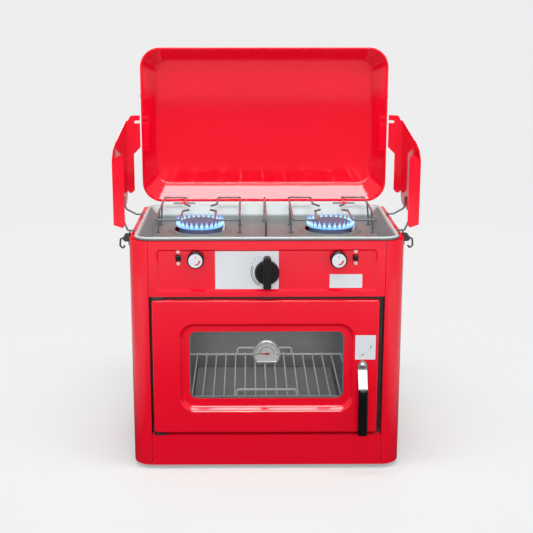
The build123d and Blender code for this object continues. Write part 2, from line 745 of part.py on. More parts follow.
def latch_cam():
    """Tongue on the spindle behind the door."""
    tongue = plate(HANDLE_X - 8, HANDLE_X + 22, HANDLE_Z - 7, HANDLE_Z + 7, DOOR_BACK + 0.5, DOOR_BACK + 2, 6)
    return tongue - round_y(HANDLE_X, HANDLE_Z, 4, 0, 20)


# Lid: drawn shell, hinges and catches

def lid_form(inset, depth):
    """The lid's drawn form behind its rim, standing open."""
    draft = LID_DRAFT * depth / LID_DEPTH
    mouth = outline(-LID_X + inset, LID_X - inset, LID_Z0 + inset, LID_Z0 + LID_H - inset, LID_R - inset)
    crown = outline(-LID_X + inset + draft, LID_X - inset - draft, LID_Z0 + inset + draft,
                    LID_Z0 + LID_H - inset - draft, LID_R - inset - draft * 0.45)
    form = loft([facing(LID_Y) * mouth, facing(LID_Y + depth) * crown], ruled=True)
    return fillet(form.edges().group_by(Axis.Y)[-1], 9 - inset)


def lid_shell():
    """Drawn lid with a folded hem round its rim."""
    rim = plate(-LID_X - HEM, LID_X + HEM, LID_Z0 - HEM, LID_Z0 + LID_H + HEM, LID_Y, LID_Y + 3, LID_R + HEM)
    rim = fillet(rim.edges().group_by(Axis.Y)[0] + rim.edges().group_by(Axis.Y)[-1], 1)
    return rim + lid_form(0, LID_DEPTH) - lid_form(SHEET, LID_DEPTH - SHEET)


HINGES_X = (-150, 150)
HINGE_HALF = 20
LID_KNUCKLE = 7


def lid_hinge_base():
    """Fixed leaves of the two lid hinges on the back panel."""
    leaves = []
    for x in HINGES_X:
        leaf = plate(x - HINGE_HALF, x + HINGE_HALF, LID_AXIS_Z - 24, LID_AXIS_Z, BODY_D, BODY_D + 1.4, 3)
        leaf += round_x(LID_AXIS_Y, LID_AXIS_Z, KNUCKLE_R, x - HINGE_HALF, x + HINGE_HALF)
        leaf -= round_x(LID_AXIS_Y, LID_AXIS_Z, KNUCKLE_R + 0.6, x - LID_KNUCKLE - 0.3, x + LID_KNUCKLE + 0.3)
        leaves.append(leaf - round_x(LID_AXIS_Y, LID_AXIS_Z, PIN_R + 0.02, x - 50, x + 50))
    return Part() + leaves


def lid_hinge_pins():
    half = HINGE_HALF + 1
    return Part() + [round_x(LID_AXIS_Y, LID_AXIS_Z, PIN_R, x - half, x + half) for x in HINGES_X]


def lid_hinge_leaf():
    """Moving leaves that follow the lid's sloping lower wall."""
    slope = LID_DRAFT / LID_DEPTH
    start = LID_Y + 6
    foot = LID_Z0 + slope * 6
    end = start + 20
    rise = slope * 20
    thick = 1.4
    side = make_face(Polyline(
        (LID_AXIS_Y, LID_AXIS_Z - KNUCKLE_R), (LID_AXIS_Y + 7, LID_AXIS_Z - 2), (start + 1, foot - thick),
        (end, foot + rise - thick), (end, foot + rise), (start, foot),
        (LID_Y + 3.5, LID_AXIS_Z + 2.5), (LID_AXIS_Y, LID_AXIS_Z + 1), close=True))
    leaves = []
    for x in HINGES_X:
        section = Plane(origin=(x - LID_KNUCKLE, 0, 0), x_dir=(0, 1, 0), z_dir=(1, 0, 0)) * side
        leaf = extrude(section, amount=2 * LID_KNUCKLE)
        leaf += round_x(LID_AXIS_Y, LID_AXIS_Z, KNUCKLE_R, x - LID_KNUCKLE, x + LID_KNUCKLE)
        leaves.append(leaf - round_x(LID_AXIS_Y, LID_AXIS_Z, PIN_R + RUNNING, x - 30, x + 30))
    return Part() + leaves


CATCH_Z0 = 498
CATCH_Z1 = 565
SLOT_Z = 555


def lid_catches():
    """Slotted catch tabs inside the lid's side walls, and the latch studs outside them."""
    tab = plate(-LID_X + 1.2, -214, CATCH_Z0, CATCH_Z1, LID_Y + 0.5, LID_Y + 1.7, 2)
    tab -= extrude(facing(LID_Y + 5) * Pos(-221, SLOT_Z) * SlotOverall(12, 5), amount=10)
    tab &= lid_form(SHEET, LID_DEPTH - SHEET)
    stud = round_x(LID_Y + 9, LID_AXIS_Z + 202, 4, -LID_X - 3, -LID_X + 12) - lid_form(0, LID_DEPTH)
    return pair(tab) + pair(stud)


# Wind guards, their rods and eyelets

def wind_guard():
    """Left wind guard: a web, a folded front edge, and a back flange that slants like the lid's wall."""
    x0 = -GUARD_X
    inner = -LID_X - HEM - GUARD_GAP
    side = Polyline((GUARD_Y0, GUARD_Z0), (GUARD_Y1, GUARD_Z0), (GUARD_Y1, GUARD_TOP), (GUARD_Y0 + 62, 540),
                    (GUARD_Y0 + 18, 530), (GUARD_Y0, GUARD_FRONT_TOP), close=True)
    side = make_face(side)
    side = fillet(side.vertices().sort_by_distance((GUARD_Y1, GUARD_Z0))[:1], GUARD_CORNER)
    web = extrude(Plane(origin=(x0, 0, 0), x_dir=(0, 1, 0), z_dir=(1, 0, 0)) * side, amount=SHEET)
    edge = Polyline((x0, GUARD_Z0), (x0 + 15, GUARD_Z0 - 5.3), (x0 + 19, GUARD_Z0),
                    (x0 + 19, GUARD_FRONT_TOP + 2), (x0 + 14, GUARD_FRONT_TOP + 10), (x0, GUARD_FRONT_TOP),
                    close=True)
    front = extrude(facing(GUARD_Y0 + SHEET) * make_face(edge), amount=SHEET)
    strip = x0 + 13.5
    flange = Polyline((x0, FLANGE_Z0 + 6), (x0 + 4, FLANGE_Z0), (x0 + 9, FLANGE_Z0), (strip, FLANGE_Z0 + 5),
                      (strip, 496), (inner, 508), (inner, GUARD_TAB_TOP), (x0 + 9, GUARD_TAB_TOP),
                      (x0 + 4, GUARD_TOP), (x0, GUARD_TOP), close=True)
    slant = (inner - x0) * LID_DRAFT / LID_DEPTH
    skin = SHEET * 1.1
    band = Polyline((x0, GUARD_Y1 - skin), (inner, GUARD_Y1 + slant - skin), (inner, GUARD_Y1 + slant),
                    (x0, GUARD_Y1), close=True)
    band = Pos(0, 0, GUARD_Z0) * extrude(make_face(band), amount=GUARD_TAB_TOP - GUARD_Z0)
    back = band & extrude(facing(GUARD_Y1 + 20) * make_face(flange), amount=40)
    slot = extrude(facing(GUARD_Y1 + 20) * Pos(inner, SLOT_Z) * SlotOverall(20, 5), amount=40)
    return web + front + (back - slot)


def guard_rods():
    """Left pair of bent rods that carry the guard, each turned into its eyelet."""
    rods = []
    pivot_x = -GUARD_PIVOT_X
    z = GUARD_PIVOT_Z
    for y, far in zip(ROD_YS, (-238, -GUARD_X + SHEET + ROD_R)):
        rods.append(wire([(pivot_x, y + 14, z), (pivot_x, y, z), (-ROD_KNEE_X, y, z + ROD_KNEE_RISE),
                          (far + 3, y, z + 10), (far, y, z + 18), (far, y, z + 32)], ROD_R, 2.2))
    return Part() + rods


def guard_eyelets():
    """Eyelets on the body ledge that the rods turn in."""
    eyelets = []
    x = -GUARD_PIVOT_X
    for y in ROD_YS:
        y0 = y + 5
        post = round_y(x, GUARD_PIVOT_Z, EYELET_R, y0, y0 + 4)
        post += block(x - EYELET_R, x + EYELET_R, y0, y0 + 4, BODY_TOP, GUARD_PIVOT_Z)
        eyelets.append(post - round_y(x, GUARD_PIVOT_Z, ROD_R + RUNNING, y0 - 5, y0 + 9))
    return pair(Part() + eyelets)


# Side latches

def latch_bases():
    """Clevis bases on the body sides, each with its pin."""
    x = -BODY_W / 2
    base = block(x - 2, x, LATCH_Y - 11, LATCH_Y + 11, 380, 399)
    ear = Pos(-LATCH_PIN_X, LATCH_PIN_Z) * Circle(5) + Pos(x - 1, LATCH_PIN_Z) * Rectangle(9, 10)
    cheek = extrude(facing(LATCH_Y + 10) * ear, amount=4)
    cheek &= block(x - 20, x, 0, 100, 300, 420)
    other = Pos(0, -16, 0) * cheek
    pin = round_y(-LATCH_PIN_X, LATCH_PIN_Z, PIN_R, LATCH_Y - 10, LATCH_Y + 10)
    return pair(base + cheek + other + pin)


def latch_hook():
    """Left wire hook that swings on the clevis pin and hangs down."""
    r = 1.5
    x = -LATCH_PIN_X
    z = LATCH_PIN_Z
    hook = wire([(x - 2.6, LATCH_Y, z), (x - 10, LATCH_Y, z - 3), (x - 11, LATCH_Y, z - 14),
                 (x - 6, LATCH_Y, z - 19), (x - 3, LATCH_Y, z - 14)], r, 2.4)
    eye = round_y(x, z, 3.4, LATCH_Y - 4, LATCH_Y + 4)
    return hook + eye - round_y(x, z, PIN_R + RUNNING, LATCH_Y - 10, LATCH_Y + 10)


# Every piece of the stove by its name

def pieces():
    panel = side_panel()
    inlet_hole = round_x(INLET_Y, MANIFOLD_Z, 8.1, INLET_X - 10, BODY_W / 2 + 5)
    yield "side_panel_left", panel
    yield "side_panel_right", right(panel) - inlet_hole
    yield "back_panel", back_panel()
    yield "base_pan", base_pan()
    yield "feet", feet()
    yield "control_panel", control_panel()
    yield "lower_front_panel", lower_front_panel()
    yield "front_frame", front_frame()
    yield "door_seal", door_seal()
    yield "oven_floor", oven_floor()
    yield "oven_roof", oven_roof()
    yield "oven_side_walls", oven_side_walls()
    yield "oven_back_wall", oven_back_wall()
    yield "rack_runners", rack_runners()
    yield "oven_rack", oven_rack()
    yield "flame_spreader", flame_spreader()
    yield "oven_burner", oven_burner()
    yield "gas_manifold", gas_manifold()
    yield "gas_inlet", gas_inlet()
    yield "burner_valves", pair(burner_valve())
    yield "oven_valve", oven_valve()
    yield "oven_gas_line", oven_gas_line()
    yield "mixer_tubes", pair(mixer_tube())
    yield "drip_tray", drip_tray()
    yield "burner_heads", pair(burner_head())
    yield "burner_caps", pair(burner_cap())
    yield "electrodes", Part() + [electrode(-BURNER_X), electrode(BURNER_X)]
    yield "igniters", pair(igniter())
    yield "igniter_button_left", igniter_button()
    yield "igniter_button_right", right(igniter_button())
    yield "pot_support_left", pot_support()
    yield "pot_support_right", right(pot_support())
    yield "pot_support_centre", centre_support()
    yield "knob_left", burner_knob()
    yield "knob_right", right(burner_knob())
    yield "knob_oven", oven_knob()
    yield "door_panel", door_panel()
    yield "door_liner", door_liner()
    yield "door_glass", door_glass()
    yield "door_hinges", door_hinges()
    yield "door_catch", door_catch()
    yield "gauge_case", gauge_case()
    yield "gauge_lens", gauge_lens()
    yield "gauge_needle", gauge_needle()
    yield "door_handle", door_handle()
    yield "handle_grip", handle_grip()
    yield "latch_cam", latch_cam()
    yield "lid_shell", lid_shell()
    yield "lid_hinge_base", lid_hinge_base()
    yield "lid_hinge_pins", lid_hinge_pins()
    yield "lid_hinge_leaf", lid_hinge_leaf()
    yield "lid_catches", lid_catches()
    yield "wind_guard_left", wind_guard()
    yield "wind_guard_right", right(wind_guard())
    yield "guard_rods_left", guard_rods()
    yield "guard_rods_right", right(guard_rods())
    yield "guard_eyelets", guard_eyelets()
    yield "latch_bases", latch_bases()
    yield "latch_hook_left", latch_hook()
    yield "latch_hook_right", right(latch_hook())


os.makedirs("parts", exist_ok=True)
for name, shape in pieces():
    save(name, shape)
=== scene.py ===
import json
import math

import bmesh
import bpy
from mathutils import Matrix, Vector


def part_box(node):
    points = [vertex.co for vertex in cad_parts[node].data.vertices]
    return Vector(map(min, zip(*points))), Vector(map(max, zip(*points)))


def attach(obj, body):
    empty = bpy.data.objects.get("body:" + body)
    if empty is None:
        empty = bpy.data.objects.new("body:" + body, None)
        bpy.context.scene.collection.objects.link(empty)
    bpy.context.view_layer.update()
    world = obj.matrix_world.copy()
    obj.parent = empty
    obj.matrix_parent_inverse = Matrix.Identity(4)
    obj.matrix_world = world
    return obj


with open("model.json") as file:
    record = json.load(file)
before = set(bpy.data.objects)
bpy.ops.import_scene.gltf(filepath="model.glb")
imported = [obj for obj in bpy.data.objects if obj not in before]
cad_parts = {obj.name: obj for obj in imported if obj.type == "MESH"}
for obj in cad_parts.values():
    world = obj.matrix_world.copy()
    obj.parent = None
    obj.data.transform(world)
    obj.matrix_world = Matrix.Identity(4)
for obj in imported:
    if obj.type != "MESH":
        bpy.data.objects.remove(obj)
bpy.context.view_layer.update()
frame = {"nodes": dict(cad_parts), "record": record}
print("frame loaded:", len(frame["nodes"]), "nodes")

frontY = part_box("control_panel")[0].y  # the red front face, all depths are measured back from it
mm = 0.001

capLow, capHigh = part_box("burner_caps")
capRadius = (capHigh.y - capLow.y) / 2
burner = {"x": capHigh.x - capRadius, "y": (capLow.y + capHigh.y) / 2, "low": capLow.z}  # the right one


def at(x, depth, z):
    return Vector((x * mm, frontY + depth * mm, z * mm))


# shader helpers

class Val:
    def __init__(self, finish, socket):
        self.finish = finish
        self.socket = socket

    def math(self, operation, other, swapped=False):
        first, second = (other, self) if swapped else (self, other)
        node = self.finish.node("ShaderNodeMath", {"operation": operation}, {0: first, 1: second})
        return Val(self.finish, node.outputs[0])

    def __add__(self, other):
        return self.math("ADD", other)

    def __sub__(self, other):
        return self.math("SUBTRACT", other)

    def __mul__(self, other):
        return self.math("MULTIPLY", other)

    def __truediv__(self, other):
        return self.math("DIVIDE", other)

    def __rsub__(self, other):
        return self.math("SUBTRACT", other, swapped=True)

    def __rtruediv__(self, other):
        return self.math("DIVIDE", other, swapped=True)

    __radd__ = __add__
    __rmul__ = __mul__

    def above(self, edge, blur):  # 0 below the edge, 1 above it
        node = self.finish.node("ShaderNodeMapRange", {"clamp": True},
                                {"Value": self, "From Min": edge - blur, "From Max": edge + blur})
        return Val(self.finish, node.outputs["Result"])


class Finish:
    inputs = {"colour": "Base Color", "rough": "Roughness", "metal": "Metallic", "alpha": "Alpha",
              "glow": "Emission Color", "glowPower": "Emission Strength", "normal": "Normal",
              "specular": "Specular IOR Level"}

    def __init__(self, name):
        self.material = bpy.data.materials.new(name)
        self.material.use_nodes = True
        self.tree = self.material.node_tree
        self.tree.nodes.clear()
        self.out = self.node("ShaderNodeOutputMaterial")
        self.shader = self.node("ShaderNodeBsdfPrincipled")
        self.tree.links.new(self.shader.outputs[0], self.out.inputs["Surface"])
        self.where = self.node("ShaderNodeTexCoord").outputs["Object"]

    def node(self, kind, settings=None, sockets=None):
        made = self.tree.nodes.new(kind)
        for key, value in (settings or {}).items():
            setattr(made, key, value)
        for key, value in (sockets or {}).items():
            self.feed(made.inputs[key], value)
        return made

    def feed(self, socket, value):
        if isinstance(value, Val):
            value = value.socket
        if isinstance(value, bpy.types.NodeSocket):
            self.tree.links.new(value, socket)
        elif socket.type == "RGBA" and len(value) == 3:
            socket.default_value = (*value, 1)
        else:
            socket.default_value = value

    def set(self, **sockets):
        for key, value in sockets.items():
            self.feed(self.shader.inputs[self.inputs[key]], value)
        return self

    def grain(self, scale, detail=3, stretch=(1, 1, 1)):  # soft noise, 0 to 1
        place = self.node("ShaderNodeMapping", None, {"Vector": self.where, "Scale": stretch})
        noise = self.node("ShaderNodeTexNoise", None,
                          {"Vector": place.outputs[0], "Scale": scale, "Detail": detail})
        return Val(self, noise.outputs[0])

    def cells(self, scale, output="Distance"):
        node = self.node("ShaderNodeTexVoronoi", None, {"Vector": self.where, "Scale": scale})
        return Val(self, node.outputs[output])

    def bands(self, settings, sockets):
        node = self.node("ShaderNodeTexWave", {"wave_type": "BANDS", **settings},
                         {"Vector": self.where, **sockets})
        return Val(self, node.outputs["Fac"])

    def axis(self, name):
        split = self.node("ShaderNodeSeparateXYZ", None, {0: self.where})
        return Val(self, split.outputs[name])

    def distance(self, centre):  # distance from an upright line
        spot = self.where
        for operation, value in (("SUBTRACT", centre), ("MULTIPLY", (1, 1, 0))):
            step = self.node("ShaderNodeVectorMath", {"operation": operation}, {0: spot, 1: value})
            spot = step.outputs[0]
        length = self.node("ShaderNodeVectorMath", {"operation": "LENGTH"}, {0: spot})
        return Val(self, length.outputs["Value"])

    def mix(self, amount, first, second):
        node = self.node("ShaderNodeMix", {"data_type": "RGBA"}, {0: amount, 6: first, 7: second})
        return node.outputs[2]

    def ramp(self, value, stops):
        node = self.node("ShaderNodeValToRGB", None, {0: value})
        elements = node.color_ramp.elements
        for i, (place, colour) in enumerate(stops):
            stop = elements[i] if i < 2 else elements.new(place)
            stop.position = place
            stop.color = (*colour, 1)
        return node.outputs[0]

    def bump(self, height, strength, distance):  # lies on top of an earlier bump
        node = self.node("ShaderNodeBump", None,
                         {"Height": height, "Strength": strength, "Distance": distance})
        for link in self.shader.inputs["Normal"].links:
            self.tree.links.new(link.from_socket, node.inputs["Normal"])
        return self.set(normal=node.outputs[0])

    def blend(self, amount, first, second):  # two shaders, mixed at the output
        node = self.node("ShaderNodeMixShader", None,
                         {0: amount, 1: first.outputs[0], 2: second.outputs[0]})
        self.tree.links.new(node.outputs[0], self.out.inputs["Surface"])
        return self


def shade(colour, share):
    return tuple(c * share for c in colour)


# finishes

tones = {  # two colours for each finish, mixed by its noise
    "zinc": ((0.31, 0.315, 0.325), (0.35, 0.355, 0.365)),
    "blackPaint": ((0.018, 0.018, 0.02), (0.06, 0.06, 0.062)),
    "rubber": ((0.014, 0.014, 0.014), (0.06, 0.058, 0.055)),
    "braid": ((0.12, 0.115, 0.10), (0.36, 0.35, 0.32)),
    # the burner cap tones are blue: painted light from the flames on the caps
    "paintedFlameLightAluminium": ((0.09, 0.12, 0.19), (0.13, 0.16, 0.24)),
    "brass": ((0.62, 0.44, 0.16), (0.40, 0.28, 0.11)),
    "ceramic": ((0.74, 0.72, 0.68), (0.86, 0.85, 0.82)),
}

enamelLook = {"red": (0.79, 0.003, 0.021), "deep": (0.71, 0.0025, 0.018), "rough": 0.045, "specular": 0.42,
              "hem": 0.003, "slant": 0.49}  # the lid's walls shine as if they sloped more


def redEnamel():
    f = Finish("redEnamel")
    cloud = f.grain(9, 2)
    peel = f.grain(420, 2)
    dust = f.grain(60, 6, (1, 1, 0.4)).above(0.66, 0.08)
    f.set(colour=f.mix(cloud * 0.35, enamelLook["red"], enamelLook["deep"]),
          rough=enamelLook["rough"] + cloud * 0.03 + dust * 0.04, specular=enamelLook["specular"])
    wall = f.axis("Y").math("MAXIMUM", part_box("lid_shell")[0].y + enamelLook["hem"])
    f.bump(wall, 1.0, enamelLook["slant"])
    return f.bump(peel, 0.01, 0.0003).material


# the steel colours lean cyan to paint out the red that the lid throws on the tray; the rear wall's colour is
# painted light and the bead's colour is a painted highlight
trayLook = {"steel": (0.17, 0.204, 0.206), "smear": (0.146, 0.177, 0.179), "wander": 0.018,
            "wall": (0.48, 0.545, 0.55), "floorZ": 0.3825, "backY": 0.105,
            "paintedBeadHighlight": (0.44, 0.51, 0.515), "beadZ": 0.3985,
            "rings": ({"colour": (0.20, 0.17, 0.12), "radius": 0.075, "blur": 0.022, "share": 0.55},
                      {"colour": (0.12, 0.125, 0.16), "radius": 0.056, "blur": 0.010, "share": 0.6})}


def trayStain(f, base):  # heat colours in rings round each burner
    wander = f.grain(28, 3) * trayLook["wander"]
    colour = base
    for side in (-1, 1):
        reach = f.distance((side * burner["x"], burner["y"], 0)) + wander
        for ring in trayLook["rings"]:
            inside = 1 - reach.above(ring["radius"], ring["blur"])
            colour = f.mix(inside * ring["share"], colour, ring["colour"])
    return colour


def traySteel():
    f = Finish("traySteel")
    brushed = f.grain(300, 4, (1, 0.03, 1))
    smear = f.grain(22, 5).above(0.55, 0.12)
    fine = f.grain(90, 4).above(0.62, 0.05)
    base = f.mix(smear * 0.5, trayLook["steel"], trayLook["smear"])
    height = f.axis("Z")
    # the rear wall above the floor takes a much lighter colour: painted light
    back = height.above(trayLook["floorZ"], 0.002) * f.axis("Y").above(trayLook["backY"], 0.004)
    # the bead along the top edge takes a lighter colour: painted highlight
    paintedBeadHighlight = height.above(trayLook["beadZ"], 0.0005)
    base = f.mix(paintedBeadHighlight, f.mix(back, trayStain(f, base), trayLook["wall"]), trayLook["paintedBeadHighlight"])
    f.set(colour=base, metal=0.06, specular=0.14,
          rough=0.3 + smear * 0.05 + brushed * 0.08 + fine * 0.04)
    return f.material


def brushedSteel(name, colour, rough, along):
    f = Finish(name)
    lines = f.grain(420, 4, along)
    worn = f.grain(40, 4).above(0.6, 0.1)
    f.set(colour=f.mix(worn * 0.4, colour, shade(colour, 0.7)), metal=1.0,
          rough=rough + lines * 0.15 + worn * 0.08)
    return f.bump(lines, 0.04, 0.0003).material


def platedWire(name, colour, rough, metal):
    f = Finish(name)
    tone = f.grain(70, 4)
    spots = f.grain(260, 3).above(0.66, 0.05)
    f.set(colour=f.mix(spots * 0.5, colour, shade(colour, 0.45)), metal=metal, specular=0.35,
          rough=rough + tone * 0.14)
    return f.bump(tone, 0.03, 0.0003).material


def zincSheet():
    f = Finish("zincSheet")
    haze = f.grain(14, 5)
    flakes = f.node("ShaderNodeSeparateColor", None, {0: f.cells(70, "Color")})
    flake = Val(f, flakes.outputs[0])
    f.set(colour=f.mix(flake * 0.5 + haze * 0.2, *tones["zinc"]), metal=0.25,
          rough=0.34 + flake * 0.02 + haze * 0.06)
    return f.bump(haze, 0.03, 0.0005).material


def blackPaint():
    f = Finish("blackPaint")
    speck = f.grain(520, 3)
    wear = f.grain(36, 5).above(0.64, 0.06)
    f.set(colour=f.mix(wear * 0.5, *tones["blackPaint"]), rough=0.34 + speck * 0.18)
    return f.bump(speck, 0.08, 0.0004).material


def mouldedPlastic(name, colour, rough):
    f = Finish(name)
    texture = f.cells(1500)
    haze = f.grain(30, 4)
    pale = tuple(c * 1.8 + 0.002 for c in colour)
    f.set(colour=f.mix(haze * 0.5, colour, pale), rough=rough + texture * 0.12 + haze * 0.1, specular=0.22)
    return f.bump(texture, 0.04, 0.0003).material


def footRubber():
    f = Finish("footRubber")
    dust = f.grain(80, 5)
    f.set(colour=f.mix(dust * 0.6, *tones["rubber"]), rough=0.7 + dust * 0.2)
    return f.bump(dust, 0.2, 0.0006).material


def sealBraid():
    f = Finish("sealBraid")
    strand = f.bands({"bands_direction": "DIAGONAL"}, {"Scale": 380, "Distortion": 1.5})
    f.set(colour=f.mix(strand, *tones["braid"]), rough=0.85 + strand * 0.1)
    return f.bump(strand, 0.5, 0.0008).material


def castAluminium():
    f = Finish("castAluminium")
    grit = f.grain(380, 4)
    tone = f.grain(26, 4)
    # the blue tones stand in for the flames' light on the caps: painted light
    f.set(colour=f.mix(tone, *tones["paintedFlameLightAluminium"]), metal=0.0, specular=0.12, rough=0.36 + grit * 0.22)
    return f.bump(grit, 0.12, 0.0005).material


inletLook = {"thread": 225.0, "stud": 0.015}  # thread frequency, length of the threaded end


def fittingBrass():
    f = Finish("fittingBrass")
    turned = f.grain(300, 3, (8, 1, 1))
    thread = f.bands({"bands_direction": "X", "wave_profile": "TRI"}, {"Scale": inletLook["thread"]})
    ridge = thread * f.axis("X").above(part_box("gas_inlet")[1].x - inletLook["stud"], 0.0004)
    dull = f.grain(30, 5)
    f.set(colour=f.mix(dull * 0.6, *tones["brass"]), metal=1.0, rough=0.22 + turned * 0.12 + dull * 0.1)
    return f.bump(ridge + turned * 0.1, 0.6, 0.0008).material


def glazedCeramic():
    f = Finish("glazedCeramic")
    tone = f.grain(60, 4)
    f.set(colour=f.mix(tone, *tones["ceramic"]), rough=0.2 + tone * 0.15)
    return f.material


paneLook = {"face": (0.02, 0.02, 0.022), "through": (0.97, 0.975, 0.975), "ior": 1.5}


def windowGlass():
    f = Finish("windowGlass")
    smear = f.grain(18, 5).above(0.6, 0.15)
    f.set(colour=paneLook["face"], rough=0.02 + smear * 0.08)
    clear = f.node("ShaderNodeBsdfTransparent", None, {0: paneLook["through"]})
    gloss = f.node("ShaderNodeFresnel", None, {"IOR": paneLook["ior"]})
    return f.blend(Val(f, gloss.outputs[0]) * 0.9 + 0.02 + smear * 0.02, clear, f.shader).material


def printedPlate(name, colour, rough):
    f = Finish(name)
    fibre = f.grain(240, 4)
    stain = f.grain(20, 4)
    f.set(colour=f.mix(stain * 0.5 + fibre * 0.1, colour, shade(colour, 0.86)), rough=rough + fibre * 0.15)
    return f.bump(fibre, 0.03, 0.0002).material


flameLook = {"power": 1.5, "height": 0.013, "body": (0.02, 0.03, 0.12),
             "stops": ((0.0, (0.20, 0.46, 1.0)), (0.22, (0.50, 0.80, 1.0)),
                       (0.5, (0.26, 0.52, 1.0)), (1.0, (0.08, 0.20, 0.95)))}  # foot to tip


def gasFlame():
    f = Finish("gasFlame")
    rise = (f.axis("Z") - burner["low"]) / flameLook["height"]
    flicker = f.grain(160, 2)
    f.set(colour=flameLook["body"], rough=0.9, glow=f.ramp(rise, flameLook["stops"]),
          glowPower=flameLook["power"], alpha=(0.9 - rise * 0.55) * (0.8 + flicker * 0.4))
    return f.material


finishes = {
    "red": redEnamel(),
    "tray": traySteel(),
    "steel": brushedSteel("strapSteel", (0.60, 0.60, 0.61), 0.2, (1, 1, 0.05)),
    # the wire's cool tint paints out the red reflection of the lid on it
    "wire": platedWire("platedWire", (0.118, 0.138, 0.143), 0.22, 0.1),
    "rack": platedWire("rackWire", (0.74, 0.74, 0.72), 0.16, 0.0),
    "darkWire": platedWire("darkWire", (0.07, 0.07, 0.075), 0.3, 0.5),
    "zinc": zincSheet(),
    "blackPaint": blackPaint(),
    "knob": mouldedPlastic("knobPlastic", (0.004, 0.004, 0.0045), 0.2),
    "grip": mouldedPlastic("gripPlastic", (0.004, 0.0035, 0.0035), 0.16),
    "rubber": footRubber(),
    "braid": sealBraid(),
    "paintedFlameLightAluminium": castAluminium(),
    "brass": fittingBrass(),
    "ceramic": glazedCeramic(),
    "glass": windowGlass(),
    "white": printedPlate("whitePlate", (0.66, 0.68, 0.72), 0.32),
    "gaugeWhite": printedPlate("gaugeWhite", (0.97, 0.97, 0.95), 0.4),
    "ink": printedPlate("blackInk", (0.03, 0.03, 0.032), 0.45),
    "redInk": printedPlate("redInk", (0.62, 0.02, 0.03), 0.35),
    "flame": gasFlame(),
}

slotFinish = {
    # dark_frame holds the front frame seen in the door gaps; its black stands in for the shade there: painted
    # shade
    "red_paint": "red", "galvanised_sheet": "zinc", "dark_frame": "blackPaint", "stainless": "steel",
    "bright_wire": "wire", "dark_wire": "darkWire", "burner_metal": "paintedFlameLightAluminium", "brass_fittings": "brass",
    "black_plastic": "knob", "grip_plastic": "grip", "foot_rubber": "rubber", "seal_cloth": "braid",
    "window_glass": "glass", "gauge_metal": "steel", "needle_red": "redInk", "ceramic": "ceramic",
}
nodeFinish = {"drip_tray": "tray", "oven_rack": "rack", "rack_runners": "rack"}

for entry in frame["record"]["subparts"]:
    node = frame["nodes"][entry["node"]]
    look = nodeFinish.get(entry["node"], slotFinish[entry["material_slot"]])
    node.data.materials.clear()
    node.data.materials.append(finishes[look])
print("finishes on the frame:", len(finishes))


# mesh helpers

def keep(piece, body):
    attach(piece, body)


def fromMesh(name, mesh, finish):
    mesh.materials.clear()
    mesh.materials.append(finishes[finish])
    piece = bpy.data.objects.new(name, mesh)
    bpy.context.scene.collection.objects.link(piece)
    return piece


def circle(cx, cz, radius, steps):
    turns = [2 * math.pi * i / steps for i in range(steps)]
    return [(cx + radius * math.cos(turn), cz + radius * math.sin(turn)) for turn in turns]


def roundedRect(x0, x1, z0, z1, r, steps=6):
    corners = ((x1 - r, z1 - r, 0), (x0 + r, z1 - r, 90), (x0 + r, z0 + r, 180), (x1 - r, z0 + r, 270))
    points = []
    for cx, cz, start in corners:
        for i in range(steps + 1):
            turn = math.radians(start + 90 * i / steps)
            points.append((cx + r * math.cos(turn), cz + r * math.sin(turn)))
    return points


def arcBand(cx, cz, r0, r1, start, end, widen=0.0, steps=28):  # starts at 1 - widen of its width
    inner, outer = [], []
    for i in range(steps + 1):
        share = i / steps
        turn = math.radians(start + (end - start) * share)
        half = (r1 - r0) / 2 * (1 - widen + widen * share)
        middle = (r0 + r1) / 2
        inner.append((cx + (middle - half) * math.cos(turn), cz + (middle - half) * math.sin(turn)))
        outer.append((cx + (middle + half) * math.cos(turn), cz + (middle + half) * math.sin(turn)))
    return outer + inner[::-1]


def dots(cx, cz, radius, start, end, count, size, steps=14):  # a row of discs along an arc
    turns = [math.radians(start + (end - start) * i / (count - 1)) for i in range(count)]
    return [circle(cx + radius * math.cos(turn), cz + radius * math.sin(turn), size, steps) for turn in turns]


def addSlab(bm, outline, front, back, edge):  # a flat plate facing the front, its outline in X and Z
    area = sum(a[0] * b[1] - b[0] * a[1] for a, b in zip(outline, outline[1:] + outline[:1]))
    loop = outline if area > 0 else outline[::-1]
    verts = [bm.verts.new(at(x, front, z)) for x, z in loop]
    face = bm.faces.new(verts)
    low = [bm.verts.new(at(x, back, z)) for x, z in loop]
    bm.faces.new(low[::-1])
    for i in range(len(loop)):
        j = (i + 1) % len(loop)
        bm.faces.new((verts[j], verts[i], low[i], low[j]))
    if edge:
        bmesh.ops.bevel(bm, geom=list(face.edges), offset=edge * mm, segments=2, affect="EDGES", profile=0.6)


def slabs(name, finish, plates):
    bm = bmesh.new()
    for outline, front, back, edge in plates:
        addSlab(bm, outline, front, back, edge)
    bmesh.ops.recalc_face_normals(bm, faces=bm.faces)
    mesh = bpy.data.meshes.new(name)
    bm.to_mesh(mesh)
    bm.free()
    return fromMesh(name, mesh, finish)


def plate(p):  # one slab from a plate's settings
    outline = roundedRect(p["left"], p["right"], p["low"], p["high"], p["corner"])
    return outline, p["bed"] - p["thick"], p["bed"], p["edge"]


def inked(outlines, p):  # thin marks on a plate or dial
    face = p["bed"] - p["thick"]
    return [(outline, face - p["ink"], face, 0) for outline in outlines]


# plates and marks on the control panel

